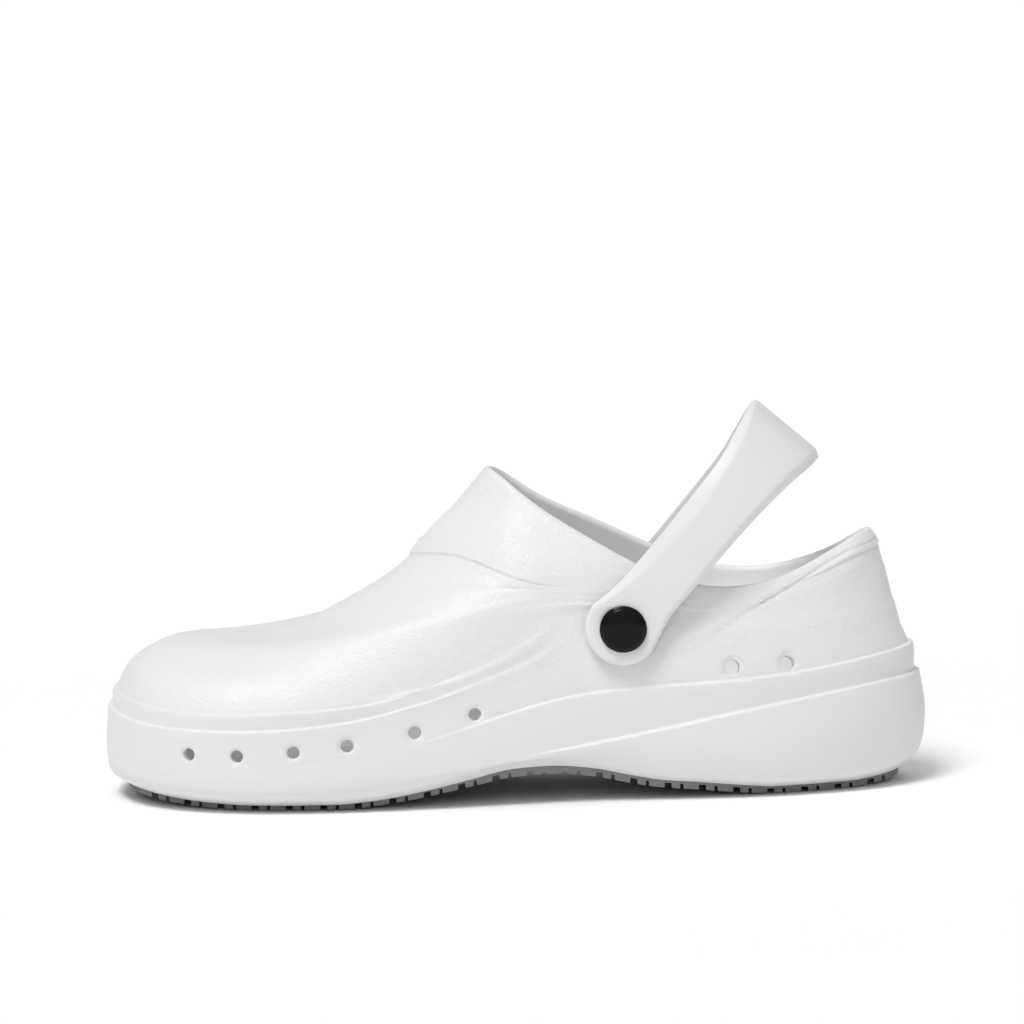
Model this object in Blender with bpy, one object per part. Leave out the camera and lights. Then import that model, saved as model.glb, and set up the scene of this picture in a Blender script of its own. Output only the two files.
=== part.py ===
"""A slip-on work clog moulded in foam, for the left foot: body, outsole, insole, heel strap and rivets.
Metres, +Z up, toe towards +X, outer side of the foot towards +Y, floor at z = 0."""

import math

import bmesh
import bpy
import numpy as np
from mathutils import Matrix, Vector

# Overall sizes
LENGTH = 0.290
BALL_WIDTH = 0.110
INSTEP_HEIGHT = 0.112
GAP = 0.0003

# Wall, rim and underside
WALL_RIM = 0.0032
WALL_LOW = 0.0046
LIP_INSET = 0.0020
SOLE_THICKNESS = 0.0032
LUG_HEIGHT = 0.0019
EDGE_RISE = 0.0026
SOLE_END = 0.0012

FLOOR_FILLET = 0.0030
FILLET_START = 0.0012

# Blocks of the tread: how many, then their length and width and the groove at both sides,
# as multiples of the groove between them
LUG_ROWS = 30
LUG_COLUMNS = 6
LUG_SHARES = (2.4, 2.9, 0.4)

# Shape of the last: how far the toe turns inwards, and how many points go round a ring
TOE_BEND = 0.0070
AROUND = 64

# Steps and ribs in the wall
LOWER_STEP = 0.0008
UPPER_STEP = 0.0007
RIB_HEIGHT = 0.0007
BAND_HEIGHT = 0.0006
LINE_WIDTH = 0.0008

# Side holes
FRONT_HOLE = 0.0044
HEEL_HOLE = 0.0052
HOLE_SIDES = 14
HOLE_DEPTH = 0.024

# Insole
INSOLE_THICKNESS = 0.0035
INSOLE_EDGE = 0.0010

# Strap and rivets
PIVOT_X = 0.371 * LENGTH
PIVOT_Z = 0.546 * INSTEP_HEIGHT
STRAP_ANGLE = math.radians(49.3)
STRAP_THICKNESS = 0.0034
STRAP_REACH = 0.0850
STRAP_LEAN = 0.0062
STRAP_HALF_WIDTH = 0.0100
STRAP_END_WIDTH = 1.35 * STRAP_HALF_WIDTH
STRAP_BEVEL = 0.0010
STRAP_CLEARANCE = 0.0006
CAP_RADIUS = 0.0081
CAP_HEIGHT = 0.0030
CAP_EDGE = 0.0008
CAP_ANGLES = (20, 42, 64)
ROUND_SIDES = 20
SHANK_RADIUS = 0.0030
PIVOT_DEPTH = 0.030
WASHER_RADIUS = 0.0070
WASHER_THICKNESS = 0.0016
WASHER_SEAT = 0.0030

# Stations round a ring, from the back of the heel (0) to its front (1)
STATIONS = (0.0, 0.15, 0.33, 0.47, 0.56, 0.66, 0.77, 0.88, 1.0)

# Plan outline: a row per station, half widths as shares of the ball width
# station, outer half, inner half
OUTLINE = (
    (0.00, 0.000, 0.000),
    (0.15, 0.222, 0.218),
    (0.33, 0.362, 0.345),
    (0.47, 0.384, 0.335),
    (0.56, 0.448, 0.405),
    (0.66, 0.498, 0.480),
    (0.77, 0.462, 0.475),
    (0.88, 0.300, 0.330),
    (1.00, 0.000, 0.000),
)

# How much higher the collar is on the inner side than on the outer one
# station, rise as a share of the instep height
INNER_RISE = (
    (0.00, 0.000),
    (0.16, -0.036),
    (0.30, -0.028),
    (0.42, 0.000),
    (0.58, 0.030),
    (0.70, 0.016),
    (0.88, 0.000),
    (1.00, 0.000),
)

# Ground line and footbed: a row per section, x a share of the length, heights shares of the instep height
# x, lug bottoms, lift of the white edge over them, footbed
SOLE_LINE = (
    (0.000, 0.045, 0.028, 0.222),
    (0.026, 0.027, 0.028, 0.214),
    (0.045, 0.014, 0.028, 0.208),
    (0.070, 0.005, 0.028, 0.206),
    (0.095, 0.000, 0.028, 0.204),
    (0.190, 0.000, 0.028, 0.200),
    (0.230, 0.008, 0.029, 0.199),
    (0.280, 0.022, 0.029, 0.198),
    (0.330, 0.034, 0.029, 0.197),
    (0.370, 0.053, 0.030, 0.194),
    (0.410, 0.075, 0.030, 0.188),
    (0.460, 0.087, 0.030, 0.178),
    (0.500, 0.083, 0.030, 0.166),
    (0.555, 0.058, 0.027, 0.148),
    (0.590, 0.040, 0.025, 0.137),
    (0.636, 0.020, 0.023, 0.126),
    (0.680, 0.006, 0.022, 0.116),
    (0.715, 0.000, 0.022, 0.112),
    (0.820, 0.000, 0.021, 0.110),
    (0.860, 0.003, 0.022, 0.112),
    (0.900, 0.009, 0.023, 0.116),
    (0.940, 0.018, 0.025, 0.122),
    (0.970, 0.028, 0.025, 0.129),
    (1.000, 0.040, 0.025, 0.138),
)

# Rings of the outer wall, from the bottom edge to the collar
# name, back x, front x, width at heel, quarter, waist, ball and nose, heights at the nine stations
# (x in shares of the length, widths of the outline, heights of the instep height;
# one number in place of the nine heights is a rise over the white edge)
RINGS = (
    ("edge", 0.0240, 0.9850, 0.800, 0.840, 0.870, 0.870, 0.820, 0.0),
    ("low", 0.0115, 0.9980, 0.920, 0.935, 0.950, 0.950, 0.930, EDGE_RISE),
    ("bulge", 0.0020, 1.0000, 0.990, 0.990, 0.990, 0.990, 0.990,
     (0.182, 0.167, 0.118, 0.150, 0.108, 0.070, 0.075, 0.096, 0.122)),
    ("lower step", 0.0110, 1.0010, 1.000, 1.000, 1.000, 1.000, 1.000,
     (0.347, 0.339, 0.266, 0.170, 0.130, 0.092, 0.099, 0.123, 0.147)),
    ("upper step", 0.0185, 1.0010, 0.972, 0.985, 0.990, 1.000, 1.000,
     (0.437, 0.421, 0.371, 0.322, 0.221, 0.160, 0.154, 0.164, 0.176)),
    ("hole line", 0.0286, 0.9995, 0.945, 0.960, 0.975, 0.995, 0.995,
     (0.483, 0.471, 0.436, 0.392, 0.279, 0.213, 0.206, 0.214, 0.229)),
    ("lower rib", 0.0355, 0.9945, 0.905, 0.922, 0.953, 0.980, 0.985,
     (0.546, 0.539, 0.530, 0.473, 0.341, 0.270, 0.261, 0.274, 0.291)),
    ("upper rib", 0.0417, 0.9875, 0.872, 0.893, 0.928, 0.955, 0.955,
     (0.599, 0.587, 0.563, 0.540, 0.382, 0.319, 0.309, 0.327, 0.337)),
    ("shoulder", 0.0448, 0.9710, 0.850, 0.878, 0.913, 0.885, 0.880,
     (0.634, 0.616, 0.579, 0.574, 0.453, 0.389, 0.383, 0.399, 0.413)),
    ("toe top", 0.0476, 0.9310, 0.830, 0.866, 0.900, 0.735, 0.660,
     (0.665, 0.641, 0.591, 0.604, 0.548, 0.492, 0.457, 0.467, 0.480)),
    ("vamp", 0.0507, 0.8000, 0.812, 0.857, 0.888, 0.640, 0.440,
     (0.692, 0.662, 0.600, 0.620, 0.629, 0.600, 0.546, 0.509, 0.497)),
    ("upper vamp", 0.0531, 0.7000, 0.796, 0.845, 0.882, 0.610, 0.400,
     (0.711, 0.679, 0.611, 0.626, 0.644, 0.671, 0.645, 0.614, 0.608)),
    ("lower band", 0.0548, 0.6235, 0.778, 0.823, 0.876, 0.607, 0.375,
     (0.729, 0.697, 0.625, 0.632, 0.664, 0.685, 0.750, 0.755, 0.745)),
    ("upper band", 0.0560, 0.6107, 0.763, 0.806, 0.868, 0.605, 0.370,
     (0.742, 0.712, 0.636, 0.640, 0.684, 0.722, 0.792, 0.793, 0.790)),
    ("collar", 0.0585, 0.5655, 0.736, 0.778, 0.858, 0.605, 0.360,
     (0.762, 0.734, 0.650, 0.644, 0.706, 0.776, 0.858, 0.895, 0.909)),
    ("rim", 0.0628, 0.5320, 0.690, 0.735, 0.842, 0.610, 0.355,
     (0.783, 0.768, 0.666, 0.649, 0.707, 0.806, 0.904, 0.985, 1.010)),
)
RING_NUMBER = {row[0]: number for number, row in enumerate(RINGS)}
INNER_RINGS = (
    "upper step", "lower rib", "shoulder", "toe top", "vamp", "upper vamp", "upper band", "rim",
)
# Places between two rings where the wall turns most, which get a ring of their own
SOFT_LEVELS = (8.5, 9.5)

# Steps and ribs: the wall moves out or in by the height just below and just above the ring
# ring, height, fade start, fade end, below the line, above the line
LINES = (
    ("lower step", LOWER_STEP, 0.50, 0.42, 1.0, -1.0),
    ("upper step", UPPER_STEP, 0.62, 0.36, 1.0, -1.0),
    ("lower rib", RIB_HEIGHT, 0.42, 0.50, 1.0, -1.0),
    ("upper rib", RIB_HEIGHT, 0.42, 0.50, 1.0, 0.0),
    ("lower band", BAND_HEIGHT, 0.60, 0.72, 0.0, 1.0),
    ("upper band", BAND_HEIGHT, 0.60, 0.72, 1.0, 0.0),
)

# Side holes: x share of the length, height share of the instep height, diameter
HOLES = (
    (0.893, 0.185, FRONT_HOLE),
    (0.833, 0.182, FRONT_HOLE),
    (0.765, 0.193, FRONT_HOLE),
    (0.694, 0.213, FRONT_HOLE),
    (0.616, 0.246, FRONT_HOLE),
    (0.543, 0.296, FRONT_HOLE),
    (0.245, 0.408, HEEL_HOLE),
    (0.173, 0.420, HEEL_HOLE),
)

# Strap: a row per section from its round end to the back of the loop. Along is a share of the reach,
# across of half the distance between the arms, and the edges are shares of the half width
# along, across, upper edge, lower edge
STRAP_ROWS = (
    (-0.147, 1.000, 0.16, 0.16),
    (-0.140, 1.000, 0.42, 0.42),
    (-0.112, 1.000, 0.82, 0.82),
    (-0.056, 1.000, 1.20, 1.20),
    (0.000, 1.000, 1.30, 1.30),
    (0.070, 0.998, 1.17, 1.17),
    (0.180, 0.990, 1.07, 1.00),
    (0.360, 0.970, 1.05, 1.03),
    (0.560, 0.910, 1.07, 1.07),
    (0.740, 0.780, 1.12, 1.17),
    (0.880, 0.560, 1.31, 1.34),
    (0.970, 0.290, 1.46, 1.52),
    (1.000, 0.000, 1.50, 1.58),
)


def start():
    for found in list(bpy.data.objects):
        bpy.data.objects.remove(found, do_unlink=True)


def collection(name, hidden=False):
    made = bpy.data.collections.new(name)
    made.hide_render = hidden
    bpy.context.scene.collection.children.link(made)
    return made


def material(name, colour, roughness, coat=0.0):
    made = bpy.data.materials.new(name)
    made.use_nodes = True
    shader = made.node_tree.nodes["Principled BSDF"]
    shader.inputs["Base Color"].default_value = (*colour, 1.0)
    shader.inputs["Roughness"].default_value = roughness
    shader.inputs["Coat Weight"].default_value = coat
    return made


def slopes(knots, values, flat_ends):
    """Slopes of the smooth curve through the values, level at both ends or free there."""
    count = len(knots)
    step = np.diff(knots)
    rise = np.diff(values) / step
    matrix = np.zeros((count, count))
    right = np.zeros(count)
    for i in range(1, count - 1):
        matrix[i, i - 1] = step[i]
        matrix[i, i] = 2 * (step[i - 1] + step[i])
        matrix[i, i + 1] = step[i - 1]
        right[i] = 3 * (step[i] * rise[i - 1] + step[i - 1] * rise[i])
    if flat_ends:
        matrix[0, 0] = matrix[-1, -1] = 1
    else:
        matrix[0, :2] = matrix[-1, -2:] = (2, 1)
        matrix[-1, -2:] = (1, 2)
        right[0], right[-1] = 3 * rise[0], 3 * rise[-1]
    return np.linalg.solve(matrix, right)


def hermite(knots, values, tangents, at):
    at = np.asarray(at, float)
    i = np.clip(np.searchsorted(knots, at) - 1, 0, len(knots) - 2)
    step = knots[i + 1] - knots[i]
    t = (at - knots[i]) / step
    return (
        (2 * t**3 - 3 * t**2 + 1) * values[i]
        + (t**3 - 2 * t**2 + t) * step * tangents[i]
        + (3 * t**2 - 2 * t**3) * values[i + 1]
        + (t**3 - t**2) * step * tangents[i + 1]
    )


def curve(knots, values, at, flat_ends=True):
    knots, values = np.asarray(knots, float), np.asarray(values, float)
    return hermite(knots, values, slopes(knots, values, flat_ends), at)


def calm(knots, values, at):
    """A curve through the values that never overshoots them."""
    knots, values = np.asarray(knots, float), np.asarray(values, float)
    step = np.diff(knots)
    rise = np.diff(values) / step
    tangents = np.zeros(len(knots))
    for i in range(1, len(knots) - 1):
        if rise[i - 1] * rise[i] > 0:
            before, after = 2 * step[i] + step[i - 1], step[i] + 2 * step[i - 1]
            tangents[i] = (before + after) / (before / rise[i - 1] + after / rise[i])
    tangents[0], tangents[-1] = rise[0], rise[-1]
    return hermite(knots, values, tangents, at)


def sole_line(x, column):
    rows = np.array(SOLE_LINE)
    return calm(rows[:, 0] * LENGTH, rows[:, column] * INSTEP_HEIGHT, np.clip(x, 0, LENGTH))


def fade(v, start, end):
    t = np.clip((v - start) / (end - start), 0, 1)
    return t * t * (3 - 2 * t)


def ring(row, v, side):
    """Points of one ring of the outer wall: v runs from back to front, side is +1 outside the foot."""
    name, back, front, heel, quarter, waist, ball, nose, heights = row
    plan = np.array(OUTLINE)
    x = LENGTH * (back + (front - back) * (1 - np.cos(math.pi * v)) / 2)
    outer = curve(plan[:, 0], plan[:, 1], v, False)
    inner = curve(plan[:, 0], plan[:, 2], v, False)
    share = curve((0, 0.15, 0.33, 0.47, 0.66, 0.88, 1), (heel, heel, quarter, waist, ball, nose, nose), v)
    bend = TOE_BEND * fade(x / LENGTH, 0.45, 1.05)
    y = BALL_WIDTH * share * np.where(side > 0, outer, -inner) - bend
    if isinstance(heights, tuple):
        z = INSTEP_HEIGHT * curve(STATIONS, heights, v)
        rise = np.array(INNER_RISE)
        high = fade(heights[2], 0.42, 0.67) * INSTEP_HEIGHT * curve(rise[:, 0], rise[:, 1], v)
        z = z + np.where(side < 0, high, 0)
    else:
        z = sole_line(x, 1) + sole_line(x, 2) + heights
    return np.stack([x, y, z], axis=-1)


def round_the_shoe(count):
    """Positions of the points round every ring: (v, side)."""
    turn = 2 * np.arange(count) / count
    return np.where(turn <= 1, turn, 2 - turn), np.where(turn <= 1, 1, -1)


def wall_points(levels, v, side):
    """Outer wall at the given ring numbers, which may lie between two rings."""
    return between_rings(np.stack([ring(row, v, side) for row in RINGS]), levels)


def between_rings(rings, levels):
    """The smooth curve up the wall through every ring, for all points of the rings at once."""
    chord = np.linalg.norm(np.diff(rings, axis=0), axis=2)[..., None]
    rise = np.diff(rings, axis=0) / chord
    tangents = np.empty_like(rings)
    weight = chord[1:] + chord[:-1]
    tangents[1:-1] = (rise[:-1] * chord[1:] + rise[1:] * chord[:-1]) / weight
    tangents[0], tangents[-1] = rise[0], rise[-1]
    points = []
    for level in levels:
        i = min(int(level), len(rings) - 2)
        t = level - i
        points.append(
            (2 * t**3 - 3 * t**2 + 1) * rings[i]
            + (t**3 - 2 * t**2 + t) * chord[i] * tangents[i]
            + (3 * t**2 - 2 * t**3) * rings[i + 1]
            + (t**3 - t**2) * chord[i] * tangents[i + 1]
        )
    return np.stack(points)


def unit(vectors):
    return vectors / np.linalg.norm(vectors, axis=-1, keepdims=True)


def outward(points):
    """Unit normals of a grid of rings, pointing out of the shoe."""
    along = np.roll(points, -1, axis=1) - np.roll(points, 1, axis=1)
    order = np.arange(len(points))
    up = points[np.minimum(order + 2, order[-1])] - points[np.maximum(order - 2, 0)]
    return unit(np.cross(up, along))


def outer_wall(v, side):
    """Rings of the outer wall with its steps and ribs, and their normals."""
    levels, rises = [], []
    edges = {RING_NUMBER[row[0]]: row for row in LINES}
    rings = np.stack([ring(row, v, side) for row in RINGS])
    for number in range(len(RINGS)):
        if number not in edges:
            for level in (number, number + 0.5):
                if level == number or level in SOFT_LEVELS:
                    levels.append(float(level))
                    rises.append(np.zeros(len(v)))
            continue
        _, height, start_v, end_v, below, above = edges[number]
        strength = height * fade(v, start_v, end_v)
        levels += [number - 0.25, number + 0.25]
        rises += [strength * below, strength * above]
    points = wall_points(levels, v, side)
    # The two rings at a line are a line width apart, measured across the ring
    normals = outward(rings)
    across = ring_up(rings, normals)
    at_levels = []
    for level in levels:
        number = int(round(level))
        shift = np.sign(level - number)
        if number in edges:
            gap = (rings[number + int(shift)] - rings[number]) * across[number]
            room = np.abs(gap.sum(axis=-1))
            by = shift * np.minimum(LINE_WIDTH / 2, 0.3 * room)
            points[len(at_levels)] = rings[number] + across[number] * by[:, None]
        at_levels.append(normals[number])
    normals = np.stack(at_levels)
    return points + normals * np.stack(rises)[..., None], normals


def ring_up(points, normals):
    """Unit vectors in the wall that cross each ring, pointing up."""
    along = np.roll(points, -1, axis=-2) - np.roll(points, 1, axis=-2)
    return unit(np.cross(along, normals))


def object_from(name, mesh_data, home, look, smooth=True):
    bmesh.ops.recalc_face_normals(mesh_data, faces=mesh_data.faces)
    if mesh_data.calc_volume(signed=True) < 0:
        bmesh.ops.reverse_faces(mesh_data, faces=mesh_data.faces)
    mesh = bpy.data.meshes.new(name)
    mesh_data.to_mesh(mesh)
    mesh_data.free()
    for face in mesh.polygons:
        face.use_smooth = smooth
    made = bpy.data.objects.new(name, mesh)
    made.data.materials.append(look)
    home.objects.link(made)
    return made


def middle():
    """The point of the floor under the middle of the body's bounding box."""
    v, side = round_the_shoe(AROUND)
    points = outer_wall(v, side)[0].reshape(-1, 3)
    return (points.min(axis=0) + points.max(axis=0)) / 2 * (1, 1, 0)


MIDDLE = middle()


def moved(points):
    """From heel-to-toe lengths to the frame whose origin is under the middle of the shoe."""
    return np.asarray(points) - MIDDLE


def lofted(rings):
    """One closed skin over the rings, with both ends closed by strips across the shoe."""
    work = bmesh.new()
    rows = [[work.verts.new(point) for point in moved(points)] for points in rings]
    count = len(rows[0])
    for lower, upper in zip(rows, rows[1:]):
        for i in range(count):
            j = (i + 1) % count
            work.faces.new((lower[i], upper[i], upper[j], lower[j]))
    for row, turned in ((rows[0], False), (rows[-1], True)):
        for i in range(count // 2):
            corners = [row[i], row[i + 1], row[(count - i - 1) % count], row[(count - i) % count]]
            corners = list(dict.fromkeys(corners))
            work.faces.new(corners[::-1] if turned else corners)
    bmesh.ops.recalc_face_normals(work, faces=work.faces)
    return work


def inset(points, distance):
    """A closed ring moved towards its own inside in plan."""
    along = np.roll(points, -1, axis=0) - np.roll(points, 1, axis=0)
    across = unit(np.stack([along[:, 1], -along[:, 0]], axis=-1))
    result = points.copy()
    result[:, :2] += across * distance
    return result


def body_rings():
    """Every ring of the body: pocket and lip under it, outer wall, rim, inner wall, floor inside."""
    v, side = round_the_shoe(AROUND)
    outer, _ = outer_wall(v, side)
    # Underside: the lip round the outsole, then the pocket that holds it
    lip = inset(outer[0], LIP_INSET)
    lip[:, 2] = outer[0][:, 2]
    pocket = lip.copy()
    pocket[:, 2] = sole_line(pocket[:, 0], 1) + SOLE_THICKNESS + 2 * GAP
    # Inner wall: the plain outer rings moved in by the wall
    numbers = [RING_NUMBER[name] for name in INNER_RINGS]
    plain = wall_points(range(len(RINGS)), v, side)
    normals = outward(plain)
    level = normals * (1, 1, 0)
    upright = fade(v, 0.62, 0.45)[:, None]
    normals = unit(normals * (1 - upright) + level * upright)
    wall = np.linspace(WALL_LOW, WALL_RIM, len(numbers))
    inner = [plain[n] - normals[n] * w for n, w in zip(numbers, wall)]
    # Rim: half a round over the top of the wall
    way = ring_up(plain[-1], normals[-1])
    middle = plain[-1] - normals[-1] * WALL_RIM / 2
    rim = []
    for angle in (45, 90, 135):
        turn = math.radians(angle)
        rim.append(middle + (normals[-1] * math.cos(turn) + way * math.sin(turn)) * WALL_RIM / 2)
    # Floor inside: a fillet, then the footbed
    fillet = inset(inner[0], FILLET_START)
    fillet[:, 2] = sole_line(fillet[:, 0], 3) + FLOOR_FILLET
    floor = inset(inner[0], FILLET_START + FLOOR_FILLET)
    floor[:, 2] = sole_line(floor[:, 0], 3)
    return [pocket, lip, *outer, *rim, *inner[::-1], fillet, floor]


def pivot_place(side):
    """Where a rivet stands, seen from the side: the loop leans, so the inner one is lower."""
    place = np.array([PIVOT_X, 0, PIVOT_Z])
    return place if side > 0 else place + strap_frame()[1] * STRAP_LEAN


def pivot_side(side):
    """How far out the wall reaches under the round end of the strap."""
    x, _, z = pivot_place(side)
    v, sides = round_the_shoe(AROUND * 4)
    keep = sides == side
    levels = np.linspace(RING_NUMBER["hole line"], RING_NUMBER["toe top"], 40)
    points = wall_points(levels, v[keep], sides[keep])
    flat = points.reshape(-1, 3)
    away = np.hypot(flat[:, 0] - x, flat[:, 2] - z)
    return side * np.abs(flat[away < STRAP_END_WIDTH, 1]).max()


def rod(name, centre, radius, length, direction, home, sides):
    """A cutter: a cylinder about its centre, along a direction."""
    work = bmesh.new()
    turn = Vector((0, 0, 1)).rotation_difference(Vector(direction)).to_matrix().to_4x4()
    bmesh.ops.create_cone(
        work, cap_ends=True, segments=sides, radius1=radius, radius2=radius, depth=length,
        matrix=Matrix.Translation(Vector(moved(centre))) @ turn,
    )
    mesh = bpy.data.meshes.new(name)
    work.to_mesh(mesh)
    work.free()
    made = bpy.data.objects.new(name, mesh)
    made.display_type = "WIRE"
    made.hide_render = True
    home.objects.link(made)
    return made


def cut(target, cutter):
    modifier = target.modifiers.new("cut " + cutter.name, "BOOLEAN")
    modifier.operation = "DIFFERENCE"
    modifier.solver = "EXACT"
    modifier.object = cutter


def wall_at(x, z, side):
    """Nearest point of the outer wall to a place seen from the side, and its normal."""
    v, sides = round_the_shoe(AROUND * 4)
    keep = sides == side
    levels = np.linspace(2, RING_NUMBER["toe top"], 60)
    grid = wall_points(levels, v, sides)
    normals = outward(grid)
    away = (grid[..., 0] - x) ** 2 + (grid[..., 2] - z) ** 2 + np.where(keep, 0, 1)[None, :]
    best = np.unravel_index(np.argmin(away), away.shape)
    return grid[best], normals[best]


def strap_frame():
    along = np.array([-math.cos(STRAP_ANGLE), 0, math.sin(STRAP_ANGLE)])
    lower = np.array([-math.sin(STRAP_ANGLE), 0, -math.cos(STRAP_ANGLE)])
    return along, lower


def strap_mesh(outer_y, inner_y):
    """The band swept round the heel; its flat arms stand just off the wall at the two pivots."""
    along, lower = strap_frame()
    rows = np.array(STRAP_ROWS)
    order = np.arange(len(rows), dtype=float)
    fine = np.concatenate([order[:5], np.arange(4.5, order[-1] + 0.1, 0.5)])
    middle = (outer_y + inner_y) / 2
    half = (outer_y - inner_y) / 2
    columns = [calm(order, rows[:, n], fine) for n in range(4)]
    arm = np.stack(columns, axis=-1)
    both = np.concatenate([arm, arm[-2::-1]])
    sides = np.concatenate([np.ones(len(arm)), -np.ones(len(arm) - 1)])
    path = np.stack([both[:, 0] * STRAP_REACH, middle + both[:, 1] * half * sides], axis=-1)
    tangent = unit(np.gradient(path, axis=0))
    # The outside of the loop, seen along its run from the outer arm to the inner one
    out = np.stack([-tangent[:, 1], tangent[:, 0]], axis=-1)
    pivot = pivot_place(1)
    work = bmesh.new()
    loops = []
    bevel, thick = STRAP_BEVEL, STRAP_THICKNESS
    for place, normal, up_share, low_share in zip(path, out, both[:, 2], both[:, 3]):
        top, bottom = up_share * STRAP_HALF_WIDTH, low_share * STRAP_HALF_WIDTH
        # The bevel narrows where the round end of the arm does
        soft = min(bevel, (top + bottom) / 5)
        corners = (
            (-top + soft, 0), (-top, bevel), (-top, thick - bevel), (-top + soft, thick),
            (bottom - soft, thick), (bottom, thick - bevel), (bottom, bevel), (bottom - soft, 0),
        )
        loop = []
        for down, out_by in corners:
            spot = pivot + along * (place[0] + normal[0] * out_by) + lower * down
            spot[1] = place[1] + normal[1] * out_by
            spot += lower * STRAP_LEAN * (outer_y - spot[1]) / (outer_y - inner_y)
            loop.append(work.verts.new(moved(spot)))
        loops.append(loop)
    for first, second in zip(loops, loops[1:]):
        for i in range(8):
            j = (i + 1) % 8
            work.faces.new((first[i], first[j], second[j], second[i]))
    work.faces.new(loops[0][::-1])
    work.faces.new(loops[-1])
    bmesh.ops.recalc_face_normals(work, faces=work.faces)
    return work


def turned(name, profile, centre, direction, home, look):
    """A round piece from its half section: (radius, distance along the axis)."""
    work = bmesh.new()
    points = [work.verts.new((radius, 0, along)) for radius, along in profile]
    lines = [work.edges.new(pair) for pair in zip(points, points[1:])]
    bmesh.ops.spin(
        work, geom=points + lines, axis=(0, 0, 1), cent=(0, 0, 0), steps=ROUND_SIDES,
        angle=2 * math.pi, use_merge=True,
    )
    bmesh.ops.remove_doubles(work, verts=work.verts, dist=1e-6)
    turn = Vector((0, 0, 1)).rotation_difference(Vector(direction)).to_matrix().to_4x4()
    bmesh.ops.transform(work, matrix=Matrix.Translation(Vector(moved(centre))) @ turn, verts=work.verts)
    bmesh.ops.recalc_face_normals(work, faces=work.faces)
    return object_from(name, work, home, look)


def outsole_mesh():
    """Rubber sheet in the pocket, with blocks pressed down from its underside."""
    v, side = round_the_shoe(AROUND)
    outer, _ = outer_wall(v, side)
    outline = inset(outer[0], LIP_INSET + GAP)
    half = AROUND // 2
    outer_side = outline[: half + 1]
    inner_side = np.roll(outline, -half, axis=0)[: half + 1][::-1]
    start_x, end_x = outline[:, 0].min() + SOLE_END, outline[:, 0].max() - SOLE_END
    # Along the shoe a wide strip carries blocks and a narrow one is the groove between them
    long, wide, edge = LUG_SHARES
    widths = np.array([1.0 if i % 2 else long for i in range(2 * LUG_ROWS - 1)])
    places = start_x + (end_x - start_x) * np.concatenate([[0], np.cumsum(widths)]) / widths.sum()
    across = np.array([wide if i % 2 else 1.0 for i in range(2 * LUG_COLUMNS + 1)])
    across[0] = across[-1] = edge
    shares = np.concatenate([[0], np.cumsum(across)]) / across.sum()
    work = bmesh.new()
    top, bottom = [], []
    for x in places:
        left = np.interp(x, outer_side[:, 0], outer_side[:, 1])
        right = np.interp(x, inner_side[:, 0], inner_side[:, 1])
        ground = sole_line(x, 1)
        y = left + (right - left) * shares
        base = [(x, value, ground + LUG_HEIGHT) for value in y]
        bottom.append([work.verts.new(moved(spot)) for spot in base])
        top.append([work.verts.new(moved((x, y[n], ground + SOLE_THICKNESS))) for n in (0, -1)])
    lugs = []
    last = len(shares) - 1
    for i in range(len(places) - 1):
        for j in range(last):
            face = work.faces.new((bottom[i][j], bottom[i + 1][j], bottom[i + 1][j + 1], bottom[i][j + 1]))
            if i % 2 == 0 and j % 2 == 1:
                lugs.append(face)
        work.faces.new((top[i][0], top[i][1], top[i + 1][1], top[i + 1][0]))
        work.faces.new((top[i][0], top[i + 1][0], bottom[i + 1][0], bottom[i][0]))
        work.faces.new((top[i][1], bottom[i][last], bottom[i + 1][last], top[i + 1][1]))
    work.faces.new([top[0][1], top[0][0]] + bottom[0])
    work.faces.new([top[-1][0], top[-1][1]] + bottom[-1][::-1])
    bmesh.ops.recalc_face_normals(work, faces=work.faces)
    made = bmesh.ops.extrude_discrete_faces(work, faces=lugs)["faces"]
    for face in made:
        for corner in face.verts:
            corner.co.z = sole_line(corner.co.x + MIDDLE[0], 1)
    return work


def insole_mesh():
    """A flat cushion with softened edges, lying on the floor inside the body."""
    floor = body_rings()[-1]
    base = inset(floor, 2 * GAP)
    base[:, 2] = sole_line(base[:, 0], 3) + GAP
    low = inset(floor, GAP)
    low[:, 2] = sole_line(low[:, 0], 3) + GAP + INSOLE_EDGE
    high = low.copy()
    high[:, 2] = sole_line(high[:, 0], 3) + GAP + INSOLE_THICKNESS - INSOLE_EDGE
    top = inset(high, INSOLE_EDGE)
    top[:, 2] = sole_line(top[:, 0], 3) + GAP + INSOLE_THICKNESS
    return lofted([base, low, high, top])


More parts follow.
